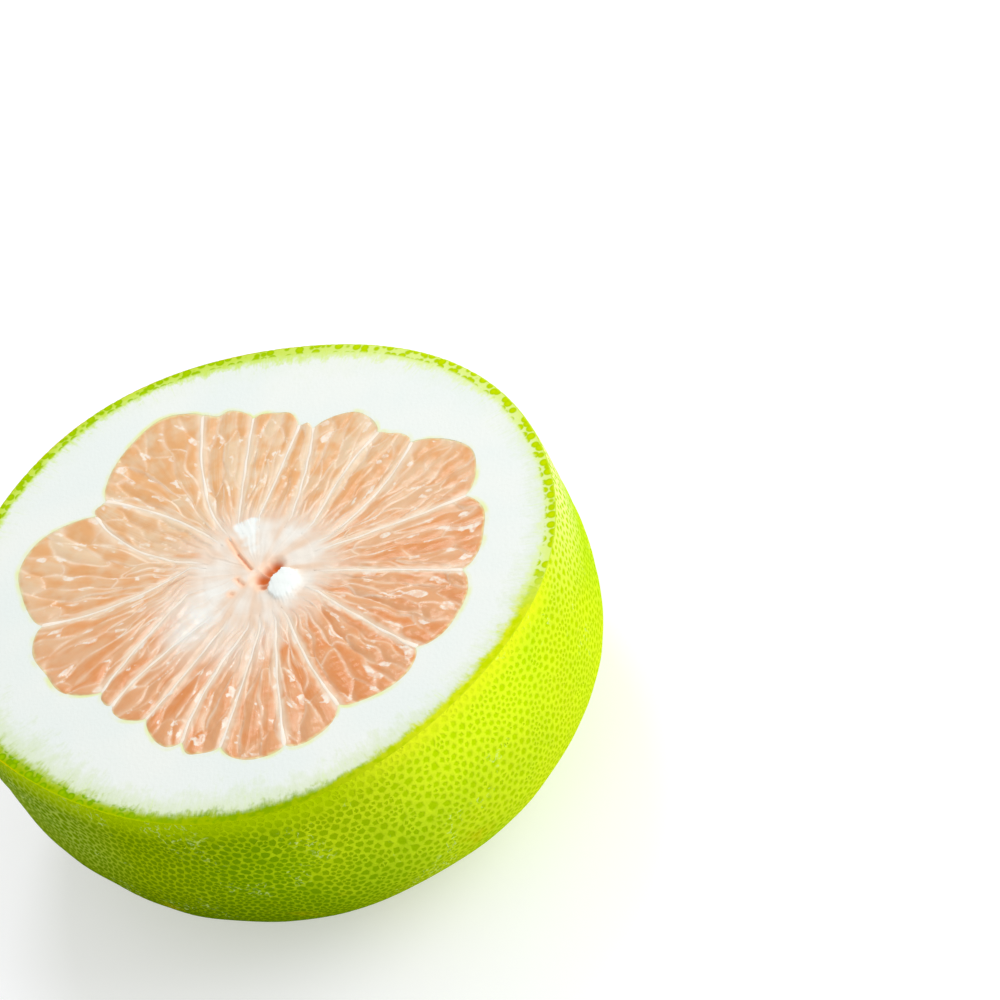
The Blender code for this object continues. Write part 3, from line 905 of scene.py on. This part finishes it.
def make_pulp(number):
    draw = np.random.default_rng(300 + number)
    length = PULP_REACH[number][1] - INNER_REACH
    columns = max(14, round(float(width_at(number, 0.15)) / POINT_SPACING))
    rows = round(length / POINT_SPACING)
    along, across = np.meshgrid(np.linspace(0, 1, rows), np.linspace(0, 1, columns), indexing="ij")
    width_here = width_at(number, along * CURVE_END)
    inset = np.minimum(0.4, SIDE_INSET / width_here)
    reach, turn = segment_polar(number, inset + (1 - 2 * inset) * across, along)
    x = reach * np.cos(turn)
    y = reach * np.sin(turn)
    warp = 0.6 * wobble(x, y, 9, 500 + number)
    sacs = seed_sacs(draw, number)
    from_own, from_seam, radial, tone, lift = share_out(sacs, across, along, width_here, length, warp)

    # Heights in mm above the cut
    from_side = np.minimum(across, 1 - across) * width_here
    from_pith = along * length
    to_core = (1 - along) * length
    strength = ease(-0.9, 0.6, wobble(x, y, 6, 600 + number))
    seam = np.exp(-(from_seam / SEAM_WIDTH) ** 2) * (0.15 + 0.85 * strength)
    seam = seam * (0.3 + 0.7 * radial) * ease(13, 22, reach)
    swell = SAC_SWELL * (1 - np.clip(from_own, 0, 1.3) ** 2)
    height = swell + lift + SEAM_HEIGHT * seam + 0.03 * wobble(x, y, 2.5, 700 + number)
    height = height * ease(-0.4, 1.8, from_side) * ease(-0.2, 1.4, from_pith)
    height -= 0.08 * (1 - ease(0, 0.4, from_pith)) + 0.02 * (1 - ease(0, 0.6, from_side))
    core_share = ease(21, 13.5, reach)
    relief, orange, blush, lump = middle_relief(x + MIDDLE_OFFSET[0], y + MIDDLE_OFFSET[1])
    threads = 0.02 * thread_at(x, y) * ease(34, 20, reach)
    height = (height + threads) * (1 - core_share) + relief * core_share
    height += 0.03 * core_share - 0.09 * (1 - ease(0, 3, to_core + 0.5 * wobble(x, y, 2.2, 38)))

    # Painted highlights: cream on the slopes that face the light, in clusters
    flecks = wobble(across * width_here, along * length / 4, 3.4, 990 + number)
    clusters = wobble(x, y, 7, 620 + number) + 0.6 * flecks - 0.1 * ease(0, -35, y)
    film = ease(0.036, 0.052, glint_lean(x, y, height) + 0.02 * flecks) * ease(0.30, 0.42, clusters)
    film = film * ease(0.5, 1.5, from_pith) * ease(18, 30, reach)

    # Where the flesh is paler: near the middle, the pith, the seams and the sides
    streak = streak_at(x, y)
    pale = np.maximum(pale_at(x, y, 2 * streak - 1), core_share)
    rim_tint = 1 - ease(0.1, 0.75, from_pith + 0.25 * wobble(x, y, 2, 900 + number))
    band = np.exp(-(from_seam / 1.0) ** 2) * ease(-0.5, 0.8, wobble(x, y, 8, 950 + number))
    side_width = 1.5 + 1.1 * ease(-0.4, 0.9, wobble(x, y, 13, 971 + number))
    side_band = 1 - ease(0.1, 1, (from_side + 0.25 * wobble(x, y, 3, 970 + number)) / side_width)

    pulp = sheet_of_points(f"pulp_segment_{number + 1:02d}", columns, rows)
    points = np.stack([MIDDLE[0] + x * MM, MIDDLE[1] + y * MM, CUT + height * MM], axis=-1)
    write_points(pulp, points.reshape(-1, 3))
    write_numbers(
        pulp, tone=tone, seam=seam, band=band, side_band=side_band, pale=pale, rim_tint=rim_tint,
        streak=streak, film=film, orange=orange * core_share, blush=blush * core_share, core=core_share,
        lump=np.maximum(lump * core_share, 0.9 * white_at(x, y)),
    )
    close_below(pulp, Vector((*points[-1, columns // 2, :2], CUT)))
    bpy.ops.object.shade_smooth_by_angle(angle=math.radians(60))
    finish_piece(pulp, "pulp", f"pulp_{number + 1:02d}")
    return pulp


# %% Pulp: make the segments
pulps = [make_pulp(number) for number in range(SEGMENTS)]
print(len(pulps), "segments,", sum(len(pulp.data.polygons) for pulp in pulps), "faces")

# %% [markdown]
# ## Materials
#
# A finish is built from many small nodes. The class below keeps that readable: each of its methods
# adds a node or two and hands back their output. What is the same all over the surface, such as
# the specular level, is set straight on the shader's sockets, and what varies is linked to them.
# All patterns read the object's own coordinates or a number kept on its vertices.

# %% Node helpers
class Finish:
    """A material in the making."""

    def __init__(self, material, roughness, **sockets):
        material.use_nodes = True
        self.material = material
        self.shader = material.node_tree.nodes["Principled BSDF"]
        for name, value in {"Roughness": roughness, **sockets}.items():
            self.shader.inputs[name.replace("_", " ")].default_value = value

    def add(self, kind, inputs=(), **settings):
        """Add a node, with links or values on its inputs."""
        made = self.material.node_tree.nodes.new("ShaderNode" + kind)
        for name, value in settings.items():
            setattr(made, name, value)
        for socket, value in dict(inputs).items():
            if isinstance(value, bpy.types.NodeSocket):
                self.material.node_tree.links.new(value, made.inputs[socket])
            else:
                made.inputs[socket].default_value = value
        return made

    def link(self, socket, value):
        self.material.node_tree.links.new(value, self.shader.inputs[socket])

    @functools.cached_property
    def place(self):
        return self.add("TexCoord").outputs["Object"]

    @functools.cached_property
    def axes(self):
        return dict(zip("xyz", self.add("SeparateXYZ", {0: self.place}).outputs))

    def number(self, name):
        """A number that was kept on the vertices."""
        return self.add("Attribute", attribute_name=name).outputs["Fac"]

    def calculate(self, operation, first, second=0.0):
        return self.add("Math", {0: first, 1: second}, operation=operation).outputs[0]

    def plus(self, first, second):
        return self.calculate("ADD", first, second)

    def times(self, *factors):
        return functools.reduce(lambda first, second: self.calculate("MULTIPLY", first, second), factors)

    def step(self, value, low, high, bottom=0.0, top=1.0):
        """A smooth step from bottom to top while value goes from low to high."""
        inputs = {0: value, 1: low, 2: high, 3: bottom, 4: top}
        return self.add("MapRange", inputs, interpolation_type="SMOOTHSTEP").outputs[0]

    def between(self, share, first, second):
        return self.step(share, 0.0, 1.0, first, second)

    def zone(self, *spans, strength=1.0):
        """A part of the fruit, by smooth steps in mm along x, y or z."""
        steps = []
        for axis, start, end in spans:
            top = 1.0 if steps else strength
            steps.append(self.step(self.axes[axis], start * MM, end * MM, 0.0, top))
        return self.times(*steps)

    def noise(self, scale, detail=2.0, roughness=0.5, place=None):
        vector = self.place if place is None else place
        inputs = {"Vector": vector, "Scale": scale, "Detail": detail, "Roughness": roughness}
        return self.add("TexNoise", inputs).outputs["Fac"]

    def patches(self, scale, detail, low, high, bottom=0.0, top=1.0, roughness=0.5):
        """Noise with its contrast raised by a smooth step."""
        return self.step(self.noise(scale, detail, roughness), low, high, bottom, top)

    def mix(self, share, first, second):
        inputs = {0: share}
        for socket, colour in ((6, first), (7, second)):
            inputs[socket] = colour if isinstance(colour, bpy.types.NodeSocket) else (*colour, 1)
        return self.add("Mix", inputs, data_type="RGBA").outputs[2]

    def layers(self, colour, *layers):
        """Lay colours over a colour, one after another, each with its share."""
        for share, cover in layers:
            colour = self.mix(share, colour, cover)
        return colour

    def bump(self, height, distance, strength=1.0):
        node = self.add("Bump", {"Height": height, "Distance": distance, "Strength": strength})
        self.link("Normal", node.outputs[0])


print("node helpers ready")

# %% [markdown]
# The skin is a matt lime green, and the net between the glands is lighter and yellower than the
# glands are. From left to right the glands get smaller and their edges softer, and green turns to
# yellow. Low down and at the left the skin has painted shade, a darker green, and at the front
# right painted light makes it brightest. Under the cut runs a plain band, and near it the net has
# a painted sheen on the far left and a painted highlight on the far right. A few places have a
# brown-orange blush or fine pale scars.

# %% Material: rind skin
peel = Finish(bpy.data.materials.new("rind green"), 0.45, Specular_IOR_Level=0.0)
broad = peel.patches(26, 3, 0.38, 0.66)
toward_right = peel.zone(("x", -30, 50))


def left_and_right(green, yellow):
    """Pairs of colours in broad patches: one pair for the left side and one for the right side."""
    return peel.mix(toward_right, peel.mix(broad, *green), peel.mix(broad, *yellow))


net = left_and_right([(0.33, 0.50, 0.0), (0.41, 0.55, 0.0)], [(0.42, 0.62, 0.015), (0.53, 0.66, 0.015)])
spot = left_and_right([(0.17, 0.32, 0.0), (0.225, 0.36, 0.0)], [(0.315, 0.515, 0.0), (0.385, 0.545, 0.0)])
freckles = peel.patches(260, 2, 0.35, 0.75, 0.0, 0.4)
# Painted highlight: a pale, whitish net near the cut on the far right.
painted_highlight_right = peel.zone(("z", 47, 67), ("y", -45, 5), ("x", 45, 66), strength=0.80)
# Painted sheen: a pale net on the far left of the skin.
painted_sheen_left = peel.zone(("z", 25, 50), ("x", -44, -62), strength=0.45)
# Painted shade: the skin is darker green low down and to the left, away from the lamp.
low = peel.zone(("z", 50, 12), ("x", 40, -20), strength=0.85)
painted_shade = peel.plus(low, peel.zone(("x", 0, -45), strength=0.40))
# Painted light: the front right of the skin is made brighter, where the lamp falls on it.
painted_light = peel.zone(("z", 36, 56), ("y", -38, -60), ("x", 8, 32), ("x", 72, 50), strength=0.9)
net = peel.layers(
    net,
    (freckles, (0.58, 0.75, 0.01)),
    (painted_highlight_right, (0.76, 0.80, 0.36)),
    (painted_sheen_left, (0.50, 0.62, 0.18)),
    (painted_shade, (0.148, 0.235, 0.0)),
    (painted_light, (0.62, 0.77, 0.015)),
)
spot = peel.layers(spot, (painted_shade, (0.068, 0.126, 0.0)), (painted_light, (0.44, 0.645, 0.0)))
dot_edges = [peel.between(toward_right, *edges) for edges in ((-0.12, -0.10), (0.22, 0.60))]
dot = peel.step(peel.number("gland"), *dot_edges)
band_left = peel.zone(("z", 59, 67), ("x", 30, 0), strength=0.75)
band_front = peel.zone(("z", 61, 67), ("x", 0, 25), ("y", -30, -45), strength=0.75)
blush_area = peel.times(peel.patches(60, 4, 0.56, 0.72, 0.0, 0.45, roughness=0.6), peel.zone(("z", 42, 24)))
from_ridge = peel.calculate("ABSOLUTE", peel.calculate("SUBTRACT", peel.noise(420), 0.5))
scars = peel.step(from_ridge, 0.03, 0.005, 0.0, 0.6)
scars = peel.times(scars, peel.patches(80, 2, 0.57, 0.66), peel.patches(700, 1, 0.46, 0.58))
green = peel.layers(
    peel.mix(dot, net, spot),
    (band_left, (0.41, 0.58, 0.0)),
    (band_front, (0.66, 0.75, 0.012)),
    (blush_area, (0.46, 0.38, 0.0)),
    (scars, (0.59, 0.74, 0.24)),
)
peel.link("Base Color", green)
peel.bump(peel.plus(peel.times(dot, -1.0), peel.noise(1500)), 0.10 * MM)
print("rind skin:", len(peel.material.node_tree.nodes), "nodes")

# %% [markdown]
# Where the knife went through the rind, the outermost skin is a thin yellow-green line. Inside it
# the cut glands sit like beads in paler flesh, which frays out into white in fine hairs, with
# a faint green halo beyond them. The front of the ring is plain, with hardly any beads or line.
# Right, left front and back each have their own greens.
#
# The knife leaves the beads level with the cut, so they need no shape: they are the cells of
# a Voronoi pattern that is read along the rim. For hairs that run inwards, the noise is read at
# the place on the rim that lies straight outwards, and bent a little. The fade goes on into the
# pith, so both materials use one function.

# %% Material: cut rind and pith
PITH_WHITE = (0.735, 0.785, 0.76)
WARM_WHITE = (0.77, 0.80, 0.765)
LUMP_WHITE = (0.81, 0.85, 0.83)
CORE_PEACH = (0.745, 0.56, 0.42)
CORE_CREAM = (0.785, 0.73, 0.655)
BEAD_SPACING = 2.3
FRAY = 0.18


def rim_place(finish, size_along, size_across, bend=0.0):
    """Object coordinates pushed out to the rim, with the distance from the skin as height."""
    shift = {"Vector": finish.place, "Location": (-AXIS[0], -AXIS[1], 0), "Scale": (1, 1, 0)}
    flat = finish.add("Mapping", shift).outputs[0]
    outward = finish.add("VectorMath", {0: flat}, operation="NORMALIZE").outputs[0]
    size = {0: outward, "Scale": RIM_RADIUS / MM / size_along}
    along = finish.add("VectorMath", size, operation="SCALE").outputs[0]
    height = finish.calculate("DIVIDE", finish.number("from_skin"), size_across)
    height = finish.plus(height, finish.step(finish.noise(300, 1, place=flat), 0.2, 0.8, -bend, bend))
    up = finish.add("CombineXYZ", {2: height}).outputs[0]
    return finish.add("VectorMath", {0: along, 1: up}, operation="ADD").outputs[0]


def rim_colour(finish, white):
    """The cut from the skin inwards: a thin line, green flesh with beads, and the fade into white."""
    depth = finish.number("from_skin")
    left = finish.zone(("x", 55, 5))
    back = finish.zone(("y", -5, 30))
    front = finish.zone(("y", -32, -46), ("x", -50, -25))

    def by_side(right, left_front, left_back):
        return finish.mix(left, right, finish.mix(back, left_front, left_back))

    hairs = finish.noise(1.0, 4, place=rim_place(finish, 0.8, 2.0, 0.9))
    fringe = finish.step(hairs, 0.25, 0.75, -FRAY, FRAY)
    fringe = finish.plus(fringe, finish.patches(380, 2, 0.3, 0.7, -FRAY, FRAY))
    share = finish.number("ring_share")
    share = finish.plus(share, finish.times(fringe, share))

    ring = by_side((0.645, 0.78, 0.20), (0.32, 0.45, 0.0), (0.52, 0.68, 0.06))
    pale_ring = by_side((0.67, 0.79, 0.32), (0.38, 0.52, 0.04), (0.56, 0.73, 0.16))
    mottle = finish.patches(480, 3, 0.42, 0.60)
    plain_right = finish.mix(mottle, (0.63, 0.72, 0.01), (0.52, 0.66, 0.0))
    plain_left = finish.mix(mottle, (0.31, 0.43, 0.0), (0.22, 0.36, 0.0))
    plain_ring = finish.mix(finish.zone(("x", 38, -12)), plain_right, plain_left)
    colour = finish.layers(ring, (finish.step(share, 0.2, 0.8), pale_ring), (front, plain_ring))

    wide = finish.times(left, finish.calculate("SUBTRACT", 1.0, back))
    halo = finish.step(share, finish.between(wide, 2.6, 3.6), 0.9)
    halo = finish.times(halo, finish.between(wide, 0.20, 0.34), finish.between(back, 1.0, 0.3))
    fade = finish.step(share, finish.between(back, 0.50, 0.60), finish.between(back, 1.4, 1.25))
    colour = finish.mix(fade, colour, finish.mix(halo, white, (0.46, 0.62, 0.10)))

    cells = {"Vector": rim_place(finish, BEAD_SPACING, BEAD_SPACING), "Scale": 1.0, "Randomness": 0.6}
    from_middle = finish.add("TexVoronoi", cells).outputs["Distance"]
    bead = finish.times(finish.step(from_middle, 0.58, 0.44), finish.step(depth, 3.1, 2.3))
    bead = finish.times(bead, finish.step(share, 1.1, 0.7), finish.between(front, 1.0, 0.12))
    bead_heart = by_side((0.50, 0.66, 0.0), (0.29, 0.48, 0.0), (0.36, 0.56, 0.0))
    bead_edge = by_side((0.41, 0.58, 0.0), (0.18, 0.36, 0.0), (0.30, 0.50, 0.0))
    bead_colour = finish.mix(finish.step(from_middle, 0.15, 0.50), bead_heart, bead_edge)

    line = finish.times(finish.step(depth, 0.45, 0.10), finish.between(front, 1.0, 0.3))
    line_left = finish.mix(finish.patches(70, 3, 0.50, 0.62), (0.40, 0.51, 0.0), (0.52, 0.48, 0.0))
    line_colour = finish.mix(left, (0.56, 0.74, 0.04), line_left)
    return finish.layers(colour, (bead, bead_colour), (line, line_colour))


def core_threads(finish):
    """The cream and peach threads that run in to the middle."""
    return finish.mix(finish.number("streak"), CORE_PEACH, CORE_CREAM)


def core_layers(finish):
    """The torn middle: pink at its edges, deep orange in the pit and slits, partly painted shade, white on
    the lump.
    """
    return [
        (finish.times(finish.number("blush"), 0.8), (0.90, 0.56, 0.36)),
        (finish.number("orange"), (0.60, 0.13, 0.025)),
        (finish.number("lump"), LUMP_WHITE),
    ]


rim = Finish(bpy.data.materials.new("rind cut"), 0.50, Specular_IOR_Level=0.0)
rim.link("Base Color", rim_colour(rim, PITH_WHITE))
rim.bump(rim.noise(1100, 3), 0.06 * MM)

foam = Finish(pith_materials[PITH_SLOT], 0.50, Specular_IOR_Level=0.0)
white = rim_colour(foam, foam.mix(foam.patches(45, 3, 0.3, 0.7), PITH_WHITE, WARM_WHITE))
hair = foam.step(foam.noise(1.0, 3, 0.6, place=rim_place(foam, 0.6, 7, 0.5)), 0.54, 0.72)
hair = foam.times(hair, foam.step(foam.number("from_skin"), 10.0, 3.0, 0.0, 0.55))
yellow = foam.step(foam.number("from_pulp"), 1.4, 0.2, 0.0, 0.85)
yellow = foam.times(yellow, foam.patches(160, 2, 0.35, 0.7, 0.05, 1.0))
white = foam.layers(
    white,
    (hair, (0.62, 0.78, 0.30)),
    (yellow, (0.72, 0.77, 0.30)),
    (foam.number("core"), core_threads(foam)),
    *core_layers(foam),
)
foam.link("Base Color", white)
foam.bump(foam.noise(1100, 3), 0.06 * MM)
print("cut rind:", len(rim.material.node_tree.nodes), "nodes, pith:", len(foam.material.node_tree.nodes))

# %% [markdown]
# The membranes are cream. Light goes a little way into them, so they take some of the pulp's
# colour.

# %% Material: membranes
cream = Finish(
    pith_materials[MEMBRANE_SLOT], 0.35, Subsurface_Weight=0.2, Subsurface_Scale=0.001,
    Subsurface_Radius=(1.0, 0.8, 0.7), Specular_IOR_Level=0.06,
)
cream.link("Base Color", cream.layers(
    cream.mix(cream.patches(220, 3, 0.3, 0.7), (0.87, 0.74, 0.60), (0.89, 0.80, 0.70)),
    (cream.number("core"), core_threads(cream)),
    (cream.number("lump"), LUMP_WHITE),
))
cream.bump(cream.noise(1300), 0.05 * MM)
print("membranes:", len(cream.material.node_tree.nodes), "nodes")

# %% [markdown]
# The pulp is what the eye goes to. Its sacs run from a pale peach to a deep salmon, yellower at
# the back of the cut and pinker at the front. Skins between sacs are cream, and the slopes that
# face the light get a painted highlight in cream. The surface is wet, so its roughness is low, and
# a fine grain along the sacs breaks up the highlights. The torn middle is dry and rough. Light
# goes a little way in, which subsurface scattering gives. The sheet's own UV map runs along the
# sacs, so the grain reads that.

# %% Material: pulp
WET = 0.16
DRY = 1.0
SCATTER = 0.3

juice = Finish(
    bpy.data.materials.new("pulp pink"), WET, Subsurface_Weight=SCATTER, Subsurface_Scale=0.002,
    Subsurface_Radius=(1.0, 0.7, 0.5), Specular_IOR_Level=0.10,
)
dry = juice.number("core")
juice.link("Roughness", juice.between(dry, WET, DRY))
juice.link("Subsurface Weight", juice.step(dry, 0.3, 1.0, SCATTER, 0.0))
sheet = juice.add("Mapping", {"Vector": juice.add("TexCoord").outputs["UV"], "Scale": (14, 3.5, 1)})
grain = juice.noise(1.0, 3, 0.55, place=sheet.outputs[0])
back = juice.zone(("y", -30, 35))
deep = juice.mix(back, (0.675, 0.265, 0.092), (0.715, 0.385, 0.168))
light = juice.mix(back, (0.675, 0.35, 0.175), (0.725, 0.545, 0.36))
mood = juice.plus(juice.number("tone"), juice.patches(190, 2, 0.3, 0.7, -0.35, 0.35))
mood = juice.plus(mood, juice.step(grain, 0.3, 0.7, -0.15, 0.15))
# Painted highlight: mottled cream where the slopes face the light.
film = juice.times(juice.number("film"), juice.patches(620, 2, 0.36, 0.60, 0.45, 1.0))
flesh = juice.layers(
    juice.mix(juice.step(mood, -0.2, 1.0), deep, light),
    (juice.times(juice.number("band"), 0.5), (0.77, 0.56, 0.39)),
    (juice.times(juice.number("side_band"), 0.75), (0.82, 0.66, 0.50)),
    (juice.times(juice.number("seam"), 0.7), (0.88, 0.75, 0.60)),
    (juice.number("pale"), core_threads(juice)),
    (film, (0.81, 0.71, 0.60)),
    *core_layers(juice),
    (juice.times(juice.number("rim_tint"), 0.6), (0.80, 0.79, 0.42)),
)
juice.link("Base Color", flesh)
juice.bump(grain, 0.07 * MM, juice.step(dry, 1.0, 0.0))
print("pulp:", len(juice.material.node_tree.nodes), "nodes")

# %% Put the materials on
rind.data.materials[RIND_SKIN_SLOT] = peel.material
rind.data.materials[RIND_CUT_SLOT] = rim.material
for pulp in pulps:
    pulp.data.materials.append(juice.material)
print("materials on", 2 + len(pulps), "pieces")

# %% [markdown]
# ## Floor, light and camera
#
# The half stands on a plain pale floor, which glows a little so that its shadows stay soft. The
# skin throws green light on it, and the floor is a little blue to balance that. A white world
# fills all shadows softly, as a light tent does. One large lamp on the right models the rind, and
# a small one above the back puts glints on the wet pulp.

# %% Floor
FLOOR_GAP = 0.2 * MM

bpy.ops.object.select_all(action="DESELECT")
bpy.ops.mesh.primitive_plane_add(size=6, location=(0, 0, -FLOOR_GAP))
floor = begin("floor")
floor_finish = Finish(
    bpy.data.materials.new("floor white"), 0.9, Base_Color=(0.62, 0.62, 0.71, 1), Specular_IOR_Level=0.1,
    Emission_Color=(1, 1, 0.90, 1), Emission_Strength=0.42,
)
floor.data.materials.append(floor_finish.material)
floor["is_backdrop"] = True

# %% Light
WORLD_STRENGTH = 0.70
LAMP_DISTANCE = 1.2
LAMP_AIM = Vector((0, 0, 0.04))

world = bpy.data.worlds.new("white world")
bpy.context.scene.world = world
world.use_nodes = True
world.node_tree.nodes["Background"].inputs[0].default_value = (1, 1, 1, 1)
world.node_tree.nodes["Background"].inputs[1].default_value = WORLD_STRENGTH
bpy.context.scene.view_settings.view_transform = "Standard"


def add_lamp(name, direction, size, power):
    """A square lamp that faces the fruit."""
    direction = Vector(direction)
    bpy.ops.object.light_add(type="AREA", location=direction.normalized() * LAMP_DISTANCE + LAMP_AIM)
    lamp = bpy.context.object
    lamp.name = name
    lamp.data.size = size
    lamp.data.energy = power
    lamp.rotation_euler = direction.to_track_quat("Z", "Y").to_euler()
    print(name, size, "m wide,", power, "W")


add_lamp("lamp right", (0.92, -0.15, 0.42), 1.0, 10.9)
add_lamp("lamp top", (0.03, 0.55, 0.83), 0.28, 3.5)

# %% [markdown]
# The camera looks down at the cut from 44 degrees above it, and it is rolled by 20 degrees,
# because the half in the picture leans to one side. It is far enough away for a long lens.

# %% Camera
CAMERA_PLACE = Vector((60.3, -564.3, 602.3)) * MM
CAMERA_ELEVATION = math.radians(43.91)
CAMERA_ROLL = math.radians(-20.44)
SENSOR_WIDTH = 36
FOCAL_SHARE = 3.3
bpy.ops.object.camera_add(location=CAMERA_PLACE)
camera = bpy.context.object
camera.name = "camera"
tilt = Matrix.Rotation(math.pi / 2 - CAMERA_ELEVATION, 4, "X")
roll = Matrix.Rotation(CAMERA_ROLL, 4, "Z")
camera.rotation_euler = (tilt @ roll).to_euler()
camera.data.sensor_width = SENSOR_WIDTH
camera.data.lens = SENSOR_WIDTH * FOCAL_SHARE
camera.data.clip_start = 0.05
camera.data.clip_end = 20
bpy.context.scene.camera = camera
print("camera", round(CAMERA_PLACE.length, 3), "m from the fruit, lens", round(camera.data.lens, 1), "mm")

# %% Finish
new_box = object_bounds()
growth = (new_box[1] - new_box[0]) - (cad_box[1] - cad_box[0])
print("grew by", [round(side / MM, 2) for side in growth], "mm")
